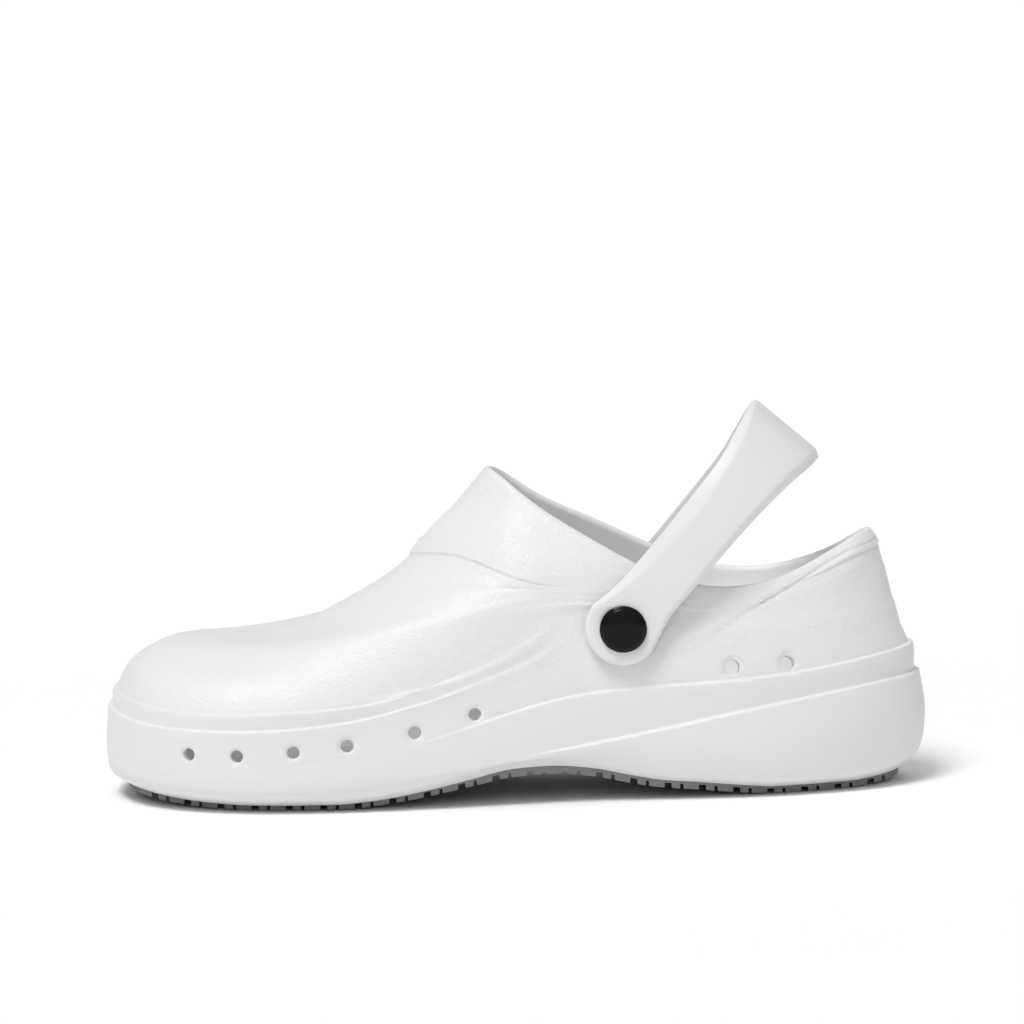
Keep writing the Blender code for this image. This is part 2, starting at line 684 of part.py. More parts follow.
def main():
    start()
    shoe = collection("work clog")
    cutters = collection("cutters", hidden=True)
    foam = material("white foam", (0.86, 0.86, 0.86), 0.55)
    rubber = material("grey rubber", (0.17, 0.175, 0.18), 0.75)
    lining = material("white footbed", (0.80, 0.80, 0.80), 0.8)
    button = material("black gloss", (0.012, 0.012, 0.013), 0.2, 0.6)

    body = object_from("clog_body", lofted(body_rings()), shoe, foam)
    for number, (x, z, width) in enumerate(HOLES):
        for side, word in ((1, "outer"), (-1, "inner")):
            spot, normal = wall_at(x * LENGTH, z * INSTEP_HEIGHT, side)
            level = np.array([normal[0], normal[1], 0.0])
            name = f"{word} hole {number + 1}"
            cut(body, rod(name, spot, width / 2, HOLE_DEPTH, unit(level), cutters, HOLE_SIDES))

    outer_y, inner_y = pivot_side(1) + STRAP_CLEARANCE, pivot_side(-1) - STRAP_CLEARANCE
    strap = object_from("heel_strap", strap_mesh(outer_y, inner_y), shoe, foam)
    bore = SHANK_RADIUS + GAP
    for side, word, face_y in ((1, "outer", outer_y), (-1, "inner", inner_y)):
        pivot = pivot_place(side) + np.array([0, face_y, 0])
        hole = rod(f"{word} pivot hole", pivot, bore, PIVOT_DEPTH, (0, 1, 0), cutters, ROUND_SIDES)
        cut(strap, hole)
        cut(body, hole)
        # Heights along the rivet are counted from the inner face of the strap
        top = STRAP_THICKNESS + GAP
        dome = top + CAP_EDGE
        seat = -(WALL_LOW + STRAP_CLEARANCE + WASHER_SEAT)
        end = seat - WASHER_THICKNESS
        cap = [
            (CAP_RADIUS * math.cos(turn), dome + (CAP_HEIGHT - CAP_EDGE) * math.sin(turn))
            for turn in map(math.radians, CAP_ANGLES)
        ]
        shank = [(0, end), (SHANK_RADIUS, end), (SHANK_RADIUS, top), (CAP_RADIUS, top), (CAP_RADIUS, dome)]
        rivet = [*shank, *cap, (0, top + CAP_HEIGHT)]
        turned(f"rivet_{word}", rivet, pivot, (0, side, 0), shoe, button)
        washer = [(bore, end), (WASHER_RADIUS, end), (WASHER_RADIUS, seat), (bore, seat), (bore, end)]
        turned(f"washer_{word}", washer, pivot, (0, side, 0), shoe, button)

    object_from("outsole", outsole_mesh(), shoe, rubber, smooth=False)
    object_from("insole", insole_mesh(), shoe, lining)


main()
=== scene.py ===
"""Looks of a white foam work clog for the left foot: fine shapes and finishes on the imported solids.
Metres, +Z up, toe towards +X, outer side of the foot towards +Y, floor at z = 0."""

import math

import bmesh
import bpy
import numpy as np
from mathutils import Matrix, Vector


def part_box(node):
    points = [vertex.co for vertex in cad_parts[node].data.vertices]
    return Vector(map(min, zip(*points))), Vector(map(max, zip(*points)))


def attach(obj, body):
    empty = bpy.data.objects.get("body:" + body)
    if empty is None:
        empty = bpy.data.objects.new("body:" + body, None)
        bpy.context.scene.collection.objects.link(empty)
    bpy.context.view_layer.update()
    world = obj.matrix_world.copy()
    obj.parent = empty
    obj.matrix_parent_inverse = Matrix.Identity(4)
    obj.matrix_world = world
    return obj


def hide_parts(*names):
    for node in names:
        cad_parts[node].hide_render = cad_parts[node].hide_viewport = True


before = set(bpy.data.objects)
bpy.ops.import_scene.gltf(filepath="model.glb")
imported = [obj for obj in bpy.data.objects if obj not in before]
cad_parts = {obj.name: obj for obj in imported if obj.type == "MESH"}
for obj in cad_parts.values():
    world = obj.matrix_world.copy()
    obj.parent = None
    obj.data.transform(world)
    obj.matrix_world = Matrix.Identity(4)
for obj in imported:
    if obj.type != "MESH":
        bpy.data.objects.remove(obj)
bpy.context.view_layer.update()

# Overall sizes
LENGTH = 0.290
BALL_WIDTH = 0.110
INSTEP_HEIGHT = 0.112
GAP = 0.0003

# Body
AROUND = 384
WALL_RIM = 0.0032
WALL_LOW = 0.0046
LIP_INSET = 0.0020
SOLE_THICKNESS = 0.0032
LUG_HEIGHT = 0.0019
EDGE_RISE = 0.0026
FLOOR_FILLET = 0.0030
FILLET_START = 0.0012
TOE_BEND = 0.0070
STEP_WIDTH = 0.0009
# Rolled edge of the collar round the heel, and the stations over which it fades
ROLL_HEIGHT = 0.0042
ROLL_DEPTH = 0.0008
ROLL_SPAN = (0.34, 0.16)
# Shares of the length over which the toe bends in
BEND_SPAN = (0.45, 1.05)
# Heights of a ring over which it takes up the rise of the inner side
RISE_SPAN = (0.42, 0.67)
# Stations from which the wall's thickness is taken level
LEVEL_SPAN = (0.62, 0.45)
# Grain: its strength where it is weak, its edge in ring numbers, and where it reaches down at the rear
WEAK_GRAIN = 0.15
GRAIN_EDGE = 0.02
REAR_SPAN = (0.56, 0.46)
# Points round a ring when a place on the wall is looked for
SEEK_AROUND = 256

# Side holes, with the flare of their rims
FRONT_HOLE = 0.0043
HEEL_HOLE = 0.0052
HOLE_DEPTH = 0.013
FLARE = 0.0007
# How far a hole's cutter opens beside and above the surface
CUT_SPREAD = 0.006
CUT_REACH = 0.003

# Outsole: shares of a long block, notch, short block and groove along it, and how often they come
LUG_CYCLE = (5.6, 1.0, 3.0, 2.4)
LUG_CYCLES = 22
# Across it: how many strips, and the shares of a block, a groove and the two edges
LUG_STRIPS = 17
LUG_SHARE = 3.0
GROOVE_SHARE = 1.0
EDGE_SHARE = 0.15
LUG_END = 0.0012
LUG_TAPER = 0.06
LUG_BEVEL = 0.00025

# Insole
INSOLE_THICKNESS = 0.0035
INSOLE_EDGE = 0.0010

# Strap and rivets
PIVOT_X = 0.371 * LENGTH
PIVOT_Z = 0.546 * INSTEP_HEIGHT
STRAP_ANGLE = math.radians(49.3)
STRAP_THICKNESS = 0.0034
STRAP_REACH = 0.0850
STRAP_LEAN = 0.0062
STRAP_HALF_WIDTH = 0.0100
STRAP_END_WIDTH = 1.35 * STRAP_HALF_WIDTH
STRAP_CLEARANCE = 0.0006
# Rounding of the band's corners: at the wall's side, at the edge and at the face
STRAP_SOFT = (0.0006, 0.0005, 0.0009)
STRAP_DROP = 0.55
BORE_REACH = 0.015
CAP_RADIUS = 0.0081
CAP_HEIGHT = 0.0030
CAP_EDGE = 0.0005
CAP_INSET = 0.0007
CAP_BASE = 0.0011
SHANK_RADIUS = 0.0030
SHANK_CHAMFER = 0.0004
WASHER_RADIUS = 0.0070
WASHER_THICKNESS = 0.0016
WASHER_SEAT = 0.0030
WASHER_CHAMFER = 0.0005

# Camera: what it looks at, how far off, how it is turned
AIM = (-0.00065, 0.00375, 0.09732)
DISTANCE = 1.500
ELEVATION = math.radians(6.6)
ROLL = math.radians(-1.25)
LENS = 150

# Light: where the key light comes from, its strength and spread in degrees,
# and the white all round: behind the floor's edge, before and above the shoe, and at its two ends
KEY_FROM = (0.28, 0.38, 0.88)
KEY_LIGHT = 1.9
KEY_SPREAD = 20
LEVEL_LIGHT = 1.05
SKY_LIGHT = 0.60
END_LIGHT = 0.26
# Where the white changes: by height over the horizon, and by how far along the shoe
LEVEL_BAND = (0.006, 0.03)
END_BAND = (0.3, 0.9)
# The floor's glow as a backdrop: distances over which it comes in, and its strength
GLOW_BAND = (0.3, 1.5)
GLOW = 0.12
FLOOR_RADIUS = 30
# Fills inside the shoe: place, watts, radius
INNER_FILLS = (
    ((0.085, -0.006, 0.038), 0.0055, 0.008),
    ((0.045, -0.004, 0.048), 0.0065, 0.010),
    ((0.000, 0.000, 0.055), 0.0065, 0.010),
    ((-0.080, 0.000, 0.060), 0.008, 0.012),
)

# Stations round a ring, from the back of the heel (0) to its front (1)
STATIONS = (0.0, 0.15, 0.33, 0.47, 0.56, 0.66, 0.77, 0.88, 1.0)

# Plan outline: half widths as shares of the ball width
# station, outer half, inner half
OUTLINE = (
    (0.00, 0.000, 0.000),
    (0.15, 0.222, 0.218),
    (0.33, 0.362, 0.345),
    (0.47, 0.384, 0.335),
    (0.56, 0.448, 0.405),
    (0.66, 0.498, 0.480),
    (0.77, 0.462, 0.475),
    (0.88, 0.300, 0.330),
    (1.00, 0.000, 0.000),
)

# How much higher the collar is on the inner side than on the outer one
# station, rise as a share of the instep height
INNER_RISE = (
    (0.00, 0.000),
    (0.16, -0.036),
    (0.30, -0.028),
    (0.42, 0.000),
    (0.58, 0.030),
    (0.70, 0.016),
    (0.88, 0.000),
    (1.00, 0.000),
)

# Ground line and footbed: x a share of the length, heights shares of the instep height
# x, lug bottoms, lift of the white edge over them, footbed
SOLE_LINE = (
    (0.000, 0.045, 0.028, 0.222),
    (0.026, 0.027, 0.028, 0.214),
    (0.045, 0.014, 0.028, 0.208),
    (0.070, 0.005, 0.028, 0.206),
    (0.095, 0.000, 0.028, 0.204),
    (0.190, 0.000, 0.028, 0.200),
    (0.230, 0.008, 0.029, 0.199),
    (0.280, 0.022, 0.029, 0.198),
    (0.330, 0.034, 0.029, 0.197),
    (0.370, 0.053, 0.030, 0.194),
    (0.410, 0.075, 0.030, 0.188),
    (0.460, 0.087, 0.030, 0.178),
    (0.500, 0.083, 0.030, 0.166),
    (0.555, 0.058, 0.027, 0.148),
    (0.590, 0.040, 0.025, 0.137),
    (0.636, 0.020, 0.023, 0.126),
    (0.680, 0.006, 0.022, 0.116),
    (0.715, 0.000, 0.022, 0.112),
    (0.820, 0.000, 0.021, 0.110),
    (0.860, 0.003, 0.022, 0.112),
    (0.900, 0.009, 0.023, 0.116),
    (0.940, 0.018, 0.025, 0.122),
    (0.970, 0.028, 0.025, 0.129),
    (1.000, 0.040, 0.025, 0.138),
)

# Rings of the outer wall, from the bottom edge to the collar
# name, back x, front x, width at heel, quarter, waist, arch, ball and nose, heights at the nine stations
# (x in shares of the length, widths of the outline, heights of the instep height;
# one number in place of the nine heights is a rise over the white edge)
RINGS = (
    ("edge", 0.0240, 0.9850, 0.800, 0.840, 0.870, 0.870, 0.870, 0.820, 0.0),
    ("low", 0.0115, 0.9980, 0.920, 0.935, 0.950, 0.950, 0.950, 0.930, EDGE_RISE),
    ("bulge", 0.0020, 1.0000, 0.990, 0.990, 0.990, 0.990, 0.990, 0.990,
     (0.182, 0.167, 0.118, 0.150, 0.108, 0.070, 0.075, 0.096, 0.122)),
    ("lower step", 0.0110, 1.0010, 1.000, 1.000, 1.000, 1.000, 1.000, 1.000,
     (0.347, 0.339, 0.266, 0.170, 0.130, 0.092, 0.099, 0.123, 0.147)),
    ("upper step", 0.0185, 1.0010, 0.972, 0.985, 0.990, 0.995, 1.000, 1.000,
     (0.437, 0.421, 0.371, 0.322, 0.221, 0.160, 0.154, 0.164, 0.176)),
    ("hole line", 0.0286, 0.9995, 0.945, 0.960, 0.975, 0.985, 0.995, 0.995,
     (0.483, 0.471, 0.436, 0.392, 0.279, 0.213, 0.206, 0.214, 0.229)),
    ("lower rib", 0.0355, 0.9945, 0.905, 0.922, 0.953, 0.967, 0.980, 0.985,
     (0.546, 0.539, 0.530, 0.473, 0.341, 0.270, 0.261, 0.274, 0.291)),
    ("upper rib", 0.0417, 0.9875, 0.872, 0.893, 0.928, 0.943, 0.955, 0.955,
     (0.599, 0.587, 0.563, 0.540, 0.382, 0.319, 0.309, 0.327, 0.337)),
    ("shoulder", 0.0448, 0.9710, 0.850, 0.878, 0.913, 0.907, 0.885, 0.880,
     (0.634, 0.616, 0.579, 0.574, 0.453, 0.389, 0.383, 0.399, 0.413)),
    ("toe top", 0.0476, 0.9310, 0.830, 0.866, 0.900, 0.845, 0.755, 0.660,
     (0.665, 0.641, 0.591, 0.604, 0.548, 0.492, 0.457, 0.467, 0.480)),
    ("vamp", 0.0507, 0.8000, 0.790, 0.829, 0.861, 0.777, 0.660, 0.440,
     (0.692, 0.662, 0.600, 0.620, 0.629, 0.600, 0.546, 0.509, 0.497)),
    ("upper vamp", 0.0531, 0.7000, 0.757, 0.792, 0.838, 0.730, 0.630, 0.400,
     (0.711, 0.679, 0.611, 0.626, 0.650, 0.671, 0.645, 0.614, 0.608)),
    ("lower band", 0.0548, 0.6235, 0.731, 0.761, 0.820, 0.710, 0.640, 0.375,
     (0.729, 0.697, 0.625, 0.632, 0.664, 0.685, 0.750, 0.755, 0.745)),
    ("upper band", 0.0560, 0.6107, 0.717, 0.745, 0.807, 0.690, 0.604, 0.370,
     (0.742, 0.712, 0.636, 0.640, 0.684, 0.722, 0.792, 0.793, 0.790)),
    ("collar", 0.0585, 0.5655, 0.690, 0.705, 0.780, 0.673, 0.580, 0.360,
     (0.762, 0.734, 0.650, 0.644, 0.706, 0.776, 0.858, 0.895, 0.909)),
    ("rim", 0.0628, 0.5320, 0.655, 0.680, 0.769, 0.650, 0.560, 0.355,
     (0.783, 0.768, 0.666, 0.649, 0.707, 0.806, 0.904, 0.985, 1.010)),
)
RING_NUMBER = {row[0]: number for number, row in enumerate(RINGS)}
# Rings that the inner face of the wall follows
INNER_RINGS = (
    "upper step", "lower rib", "shoulder", "toe top", "vamp", "upper vamp", "upper band", "rim",
)

# Steps in the wall along a ring: how far it stands out just below and just above the line
# ring, below, above, fade start, fade end
STEPS = (
    ("lower step", 0.0008, -0.0008, 0.50, 0.42),
    ("upper step", 0.0007, -0.0007, 0.62, 0.36),
    ("lower rib", 0.0005, -0.0005, 0.56, 0.61),
    ("upper rib", 0.0008, -0.0002, 0.56, 0.61),
    ("lower band", 0.0000, 0.0006, 0.60, 0.68),
    ("upper band", 0.0006, 0.0000, 0.60, 0.68),
)

# Lines across the wall as seen from the side, on both sides of the shoe. Points are shares of the
# length and of the instep height, from the front end back. The wall stands out by below and above
# at its two sides, and a groove of that depth and width runs along it, or a bead if it is negative.
# points, below, above, groove depth, groove width, fade at the front end and at the back end
SIDE_LINES = {
    "upper rib curl": (
        ((0.717, 0.326), (0.612, 0.375), (0.565, 0.406), (0.528, 0.439), (0.499, 0.479), (0.475, 0.521),
         (0.461, 0.558), (0.455, 0.595), (0.455, 0.620)),
        0.0007, -0.0001, -0.0003, 0.0008, (0.16, 0.34), (1.0, 0.80)),
    "lower rib curl": (
        ((0.700, 0.290), (0.592, 0.346), (0.553, 0.379), (0.507, 0.422), (0.475, 0.458), (0.453, 0.497),
         (0.440, 0.541), (0.434, 0.579), (0.434, 0.600)),
        0.0004, -0.0003, -0.0003, 0.0008, (0.16, 0.34), (1.0, 0.80)),
    "collar facet": (
        ((0.311, 0.434), (0.285, 0.475), (0.242, 0.553), (0.198, 0.613), (0.155, 0.671), (0.110, 0.732),
         (0.064, 0.768), (0.048, 0.775)),
        -0.0001, 0.0004, 0.00030, 0.0012, (0.0, 0.12), (1.2, 1.1)),
    "collar fold": (
        ((0.291, 0.501), (0.273, 0.538), (0.228, 0.602), (0.185, 0.660), (0.150, 0.700)),
        0.0, 0.0, 0.00018, 0.0012, (0.0, 0.25), (1.0, 0.75)),
    "parting line": (
        ((0.800, 0.145), (0.779, 0.150), (0.696, 0.180), (0.617, 0.232), (0.544, 0.283), (0.514, 0.291),
         (0.412, 0.358), (0.381, 0.374), (0.330, 0.378)),
        0.0, 0.0, 0.00014, 0.0005, (0.0, 0.12), (1.0, 0.88)),
}
# How far from a line its steps fade out
LINE_REACH = 0.0060

# Lean of the quarters over the toe top ring, how it grows with the height, per metre,
# and the shares of the length over which it fades at the front and at the back
QUARTER_LEAN = 0.22
QUARTER_CURVE = 8.0
QUARTER_FRONT = (0.54, 0.46)
QUARTER_BACK = (0.075, 0.13)

# A soft dimple round every side hole
DIMPLE_DEPTH = 0.00045
DIMPLE_WIDTH = 0.0030

# Side holes: x share of the length, height share of the instep height, diameter
HOLES = (
    (0.893, 0.185, FRONT_HOLE),
    (0.833, 0.182, FRONT_HOLE),
    (0.765, 0.193, FRONT_HOLE),
    (0.694, 0.213, FRONT_HOLE),
    (0.616, 0.246, FRONT_HOLE),
    (0.543, 0.296, FRONT_HOLE),
    (0.245, 0.408, HEEL_HOLE),
    (0.173, 0.420, HEEL_HOLE),
)

# Strap: a row per section from the pivot to the back of the loop. Along is a share of the reach,
# across of half the distance between the arms, the edges are shares of the half width, and the
# wide chamfers of its two outer edges are in metres
# along, across, upper edge, lower edge, upper chamfer, lower chamfer
STRAP_ROWS = (
    (0.000, 1.000, 1.30, 1.30, 0.0010, 0.0010),
    (0.070, 0.998, 1.17, 1.17, 0.0016, 0.0010),
    (0.180, 0.990, 1.07, 1.00, 0.0030, 0.0011),
    (0.360, 0.970, 1.05, 1.03, 0.0049, 0.0016),
    (0.560, 0.910, 1.07, 1.07, 0.0052, 0.0020),
    (0.740, 0.780, 1.12, 1.17, 0.0040, 0.0026),
    (0.880, 0.560, 1.31, 1.34, 0.0032, 0.0028),
    (0.970, 0.290, 1.46, 1.52, 0.0014, 0.0028),
    (1.000, 0.000, 1.50, 1.58, 0.0010, 0.0028),
)


# Curves and the last

def slopes(knots, values, flat_ends):
    """Slopes of the smooth curve through the values, level at both ends or free there."""
    count = len(knots)
    step = np.diff(knots)
    rise = np.diff(values) / step
    matrix = np.zeros((count, count))
    right = np.zeros(count)
    for i in range(1, count - 1):
        matrix[i, i - 1] = step[i]
        matrix[i, i] = 2 * (step[i - 1] + step[i])
        matrix[i, i + 1] = step[i - 1]
        right[i] = 3 * (step[i] * rise[i - 1] + step[i - 1] * rise[i])
    if flat_ends:
        matrix[0, 0] = matrix[-1, -1] = 1
    else:
        matrix[0, :2] = (2, 1)
        matrix[-1, -2:] = (1, 2)
        right[0], right[-1] = 3 * rise[0], 3 * rise[-1]
    return np.linalg.solve(matrix, right)


def cubic(t, step, start, start_slope, end, end_slope):
    """The cubic between two values that has their slopes; t runs from 0 to 1 over the step."""
    return (
        (2 * t**3 - 3 * t**2 + 1) * start
        + (t**3 - 2 * t**2 + t) * step * start_slope
        + (3 * t**2 - 2 * t**3) * end
        + (t**3 - t**2) * step * end_slope
    )


def hermite(knots, values, tangents, at):
    at = np.asarray(at, float)
    i = np.clip(np.searchsorted(knots, at) - 1, 0, len(knots) - 2)
    step = knots[i + 1] - knots[i]
    return cubic((at - knots[i]) / step, step, values[i], tangents[i], values[i + 1], tangents[i + 1])


def curve(knots, values, at, flat_ends=True):
    knots, values = np.asarray(knots, float), np.asarray(values, float)
    return hermite(knots, values, slopes(knots, values, flat_ends), at)


def calm(knots, values, at):
    """A curve through the values that never overshoots them."""
    knots, values = np.asarray(knots, float), np.asarray(values, float)
    step = np.diff(knots)
    rise = np.diff(values) / step
    tangents = np.zeros(len(knots))
    for i in range(1, len(knots) - 1):
        if rise[i - 1] * rise[i] > 0:
            before, after = 2 * step[i] + step[i - 1], step[i] + 2 * step[i - 1]
            tangents[i] = (before + after) / (before / rise[i - 1] + after / rise[i])
    tangents[0], tangents[-1] = rise[0], rise[-1]
    return hermite(knots, values, tangents, at)


def fade(v, start, end):
    t = np.clip((v - start) / (end - start), 0, 1)
    return t * t * (3 - 2 * t)


def unit(vectors):
    return vectors / np.linalg.norm(vectors, axis=-1, keepdims=True)


def sole_line(x, column):
    rows = np.array(SOLE_LINE)
    return calm(rows[:, 0] * LENGTH, rows[:, column] * INSTEP_HEIGHT, np.clip(x, 0, LENGTH))


def ring(row, v, side):
    """Points of one ring of the outer wall: v runs from back to front, side is +1 outside the foot."""
    _, back, front, heel, quarter, waist, arch, ball, nose, heights = row
    plan = np.array(OUTLINE)
    x = LENGTH * (back + (front - back) * (1 - np.cos(math.pi * v)) / 2)
    outer = curve(plan[:, 0], plan[:, 1], v, False)
    inner = curve(plan[:, 0], plan[:, 2], v, False)
    widths = (heel, heel, quarter, waist, arch, ball, nose, nose)
    share = curve((0, 0.15, 0.33, 0.47, 0.56, 0.66, 0.88, 1), widths, v)
    bend = TOE_BEND * fade(x / LENGTH, *BEND_SPAN)
    y = BALL_WIDTH * share * np.where(side > 0, outer, -inner) - bend
    if isinstance(heights, tuple):
        z = INSTEP_HEIGHT * curve(STATIONS, heights, v)
        rise = np.array(INNER_RISE)
        high = fade(heights[2], *RISE_SPAN) * INSTEP_HEIGHT * curve(rise[:, 0], rise[:, 1], v)
        z = z + np.where(side < 0, high, 0)
    else:
        z = sole_line(x, 1) + sole_line(x, 2) + heights
    return np.stack([x, y, z], axis=-1)


def round_the_shoe(count):
    """Positions of the points round every ring: (v, side)."""
    turn = 2 * np.arange(count) / count
    return np.where(turn <= 1, turn, 2 - turn), np.where(turn <= 1, 1, -1)


def between_rings(rings, levels):
    """The smooth curve up the wall through every ring, for all points of the rings at once."""
    chord = np.linalg.norm(np.diff(rings, axis=0), axis=2)[..., None]
    rise = np.diff(rings, axis=0) / chord
    tangents = np.empty_like(rings)
    weight = chord[1:] + chord[:-1]
    tangents[1:-1] = (rise[:-1] * chord[1:] + rise[1:] * chord[:-1]) / weight
    tangents[0], tangents[-1] = rise[0], rise[-1]
    points = []
    for level in levels:
        i = min(int(level), len(rings) - 2)
        points.append(cubic(level - i, chord[i], rings[i], tangents[i], rings[i + 1], tangents[i + 1]))
    return np.stack(points)


def turn_line(way):
    """The toe top ring on one side of the shoe, in order of x."""
    v = np.linspace(0, 1, 161)
    line = ring(RINGS[RING_NUMBER["toe top"]], v, np.full(v.shape, float(way)))
    return line[np.argsort(line[:, 0])]


def wall_rings(v, side):
    """Every ring of the outer wall. Over the toe top ring the quarters lean in evenly."""
    rings = np.stack([ring(row, v, side) for row in RINGS])
    for way in (1, -1):
        line = turn_line(way)
        for upper in rings[RING_NUMBER["toe top"] + 1:]:
            x = upper[..., 0]
            rise = upper[..., 2] - np.interp(x, line[:, 0], line[:, 2])
            lean = QUARTER_LEAN * rise + QUARTER_CURVE * rise * rise
            aim = np.interp(x, line[:, 0], line[:, 1]) - way * lean
            share = fade(x / LENGTH, *QUARTER_FRONT) * fade(x / LENGTH, *QUARTER_BACK)
            upper[..., 1] += np.where(side == way, (aim - upper[..., 1]) * share, 0)
    return rings


def wall_points(levels, v, side):
    """Plain outer wall at the given ring numbers, which may lie between two rings."""
    return between_rings(wall_rings(v, side), levels)


def outward(points):
    """Unit normals of a grid of rings, pointing out of the shoe."""
    along = np.roll(points, -1, axis=1) - np.roll(points, 1, axis=1)
    order = np.arange(len(points))
    up = points[np.minimum(order + 2, order[-1])] - points[np.maximum(order - 2, 0)]
    return unit(np.cross(up, along))


def ring_up(points, normals):
    """Unit vectors in the wall that cross each ring, pointing up."""
    along = np.roll(points, -1, axis=-2) - np.roll(points, 1, axis=-2)
    return unit(np.cross(along, normals))


def inset(points, distance):
    """A closed ring moved towards its own inside in plan."""
    along = np.roll(points, -1, axis=0) - np.roll(points, 1, axis=0)
    across = unit(np.stack([along[:, 1], -along[:, 0]], axis=-1))
    result = points.copy()
    result[:, :2] += across * distance
    return result


# Meshes

def middle():
    """The point of the floor under the middle of the solids, in heel-to-toe lengths."""
    low, high = (np.array(corner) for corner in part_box("clog_body"))
    v, side = round_the_shoe(64)
    outer = wall_points(np.arange(len(RINGS)), v, side).reshape(-1, 3)
    centre = (outer.min(axis=0) + outer.max(axis=0)) / 2 - (low + high) / 2
    return centre * (1, 1, 0)


MIDDLE = middle()


def moved(points):
    """From heel-to-toe lengths to the frame of the solids."""
    return np.asarray(points) - MIDDLE


def finished(name, work, look, node=None, smooth=True):
    """The piece itself, riding on the one body and standing for its solid."""
    bmesh.ops.recalc_face_normals(work, faces=work.faces)
    if work.calc_volume(signed=True) < 0:
        bmesh.ops.reverse_faces(work, faces=work.faces)
    mesh = bpy.data.meshes.new(name)
    work.to_mesh(mesh)
    work.free()
    for face in mesh.polygons:
        face.use_smooth = smooth
    made = bpy.data.objects.new(name, mesh)
    bpy.context.scene.collection.objects.link(made)
    if look:
        mesh.materials.append(look)
    if node:
        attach(made, "root")
        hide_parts(node)
    return made


def grid(points):
    """A flat grid laid over rows of points, and its corners in the same rows."""
    rows, columns = len(points) - 1, len(points[0]) - 1
    work = bmesh.new()
    work.verts.layers.float.new("grain")
    bmesh.ops.create_grid(work, x_segments=columns, y_segments=rows, size=0.5)
    corners = [[None] * (columns + 1) for _ in range(rows + 1)]
    for corner in work.verts:
        i, j = round((corner.co.x + 0.5) * columns), round((corner.co.y + 0.5) * rows)
        corners[j][i] = corner
        corner.co = points[j][i]
    return work, corners


def sleeve(rings):
    """A grid whose rows are closed rings, its two side edges not yet merged."""
    points = moved(np.stack(rings))
    return grid(np.concatenate([points, points[:, :1]], axis=1))


def merged(work):
    bmesh.ops.remove_doubles(work, verts=work.verts, dist=1e-6)
    return work


def shell(rings, strengths=None):
    """A closed skin over the rings, with both ends closed by strips across the shoe."""
    work, corners = sleeve(rings)
    if strengths is not None:
        layer = work.verts.layers.float["grain"]
        for row, values in zip(corners, strengths):
            for corner, value in zip(row, [*values, values[0]]):
                corner[layer] = value
    count = len(rings[0])
    for row in (corners[0], corners[-1]):
        for i in range(count // 2):
            across = [row[n] for n in (i, i + 1, count - i - 1, (count - i) % count)]
            work.faces.new(list(dict.fromkeys(across)))
    return merged(work)


def cut(target, cutters):
    """Takes the cutters out of the piece for good."""
    for number, cutter in enumerate(cutters):
        modifier = target.modifiers.new(f"cut {number}", "BOOLEAN")
        modifier.operation = "DIFFERENCE"
        modifier.solver = "EXACT"
        modifier.object = cutter
    graph = bpy.context.evaluated_depsgraph_get()
    result = bpy.data.meshes.new_from_object(target.evaluated_get(graph), depsgraph=graph)
    target.modifiers.clear()
    target.data = result
    for cutter in cutters:
        bpy.data.objects.remove(cutter)


def turned(name, profile, centre, direction, look=None, node=None, sides=64):
    """A round piece from its half section: (radius, distance along the axis)."""
    work = bmesh.new()
    points = [work.verts.new((radius, 0, along)) for radius, along in profile]
    lines = [work.edges.new(pair) for pair in zip(points, points[1:])]
    bmesh.ops.spin(
        work, geom=points + lines, axis=(0, 0, 1), cent=(0, 0, 0), steps=sides,
        angle=2 * math.pi, use_merge=True,
    )
    bmesh.ops.remove_doubles(work, verts=work.verts, dist=1e-6)
    turn = Vector((0, 0, 1)).rotation_difference(Vector(direction)).to_matrix().to_4x4()
    place = Matrix.Translation(Vector(moved(centre)))
    bmesh.ops.transform(work, matrix=place @ turn, verts=work.verts)
    return finished(name, work, look, node)


def arc(centre, radius, start, end, count):
    """Points of an arc in a half section, angles in degrees."""
    angles = np.radians(np.linspace(start, end, count))
    return [(centre[0] + radius * math.cos(a), centre[1] + radius * math.sin(a)) for a in angles]


# Body

def wall_levels():
    """Ring numbers of the fine wall, close together at the steps."""
    stepped = {RING_NUMBER[row[0]] for row in STEPS}
    near = (0.02, 0.045, 0.08, 0.13, 0.2, 0.3)
    levels = []
    for number in range(len(RINGS)):
        levels.append(float(number))
        if number == len(RINGS) - 1:
            break
        after = near if number in stepped else (0.125, 0.25, 0.375)
        before = near if number + 1 in stepped else (0.125, 0.25, 0.375)
        levels += [number + part for part in after] + [number + 0.5]
        levels += [number + 1 - part for part in reversed(before)]
    return np.array(levels)


def side_line(points, x, z):
    """How far places of the side view are over a line, and the share of its run they lie at."""
    points = np.array(points) * (LENGTH, INSTEP_HEIGHT)
    run = np.concatenate([[0], np.cumsum(np.linalg.norm(np.diff(points, axis=0), axis=1))])
    share = np.linspace(0, 1, 121)
    line = np.stack([curve(run / run[-1], points[:, n], share, False) for n in (0, 1)], axis=-1)
    way = unit(np.gradient(line, axis=0))
    best = np.full(x.shape, np.inf)
    over, place = np.zeros_like(best), np.zeros_like(best)
    for spot, ahead, at in zip(line, way, share):
        dx, dz = x - spot[0], z - spot[1]
        away = np.hypot(dx, dz)
        nearer = away < best
        best = np.where(nearer, away, best)
        over = np.where(nearer, np.copysign(away, ahead[1] * dx - ahead[0] * dz), over)
        place = np.where(nearer, at, place)
    return over, place


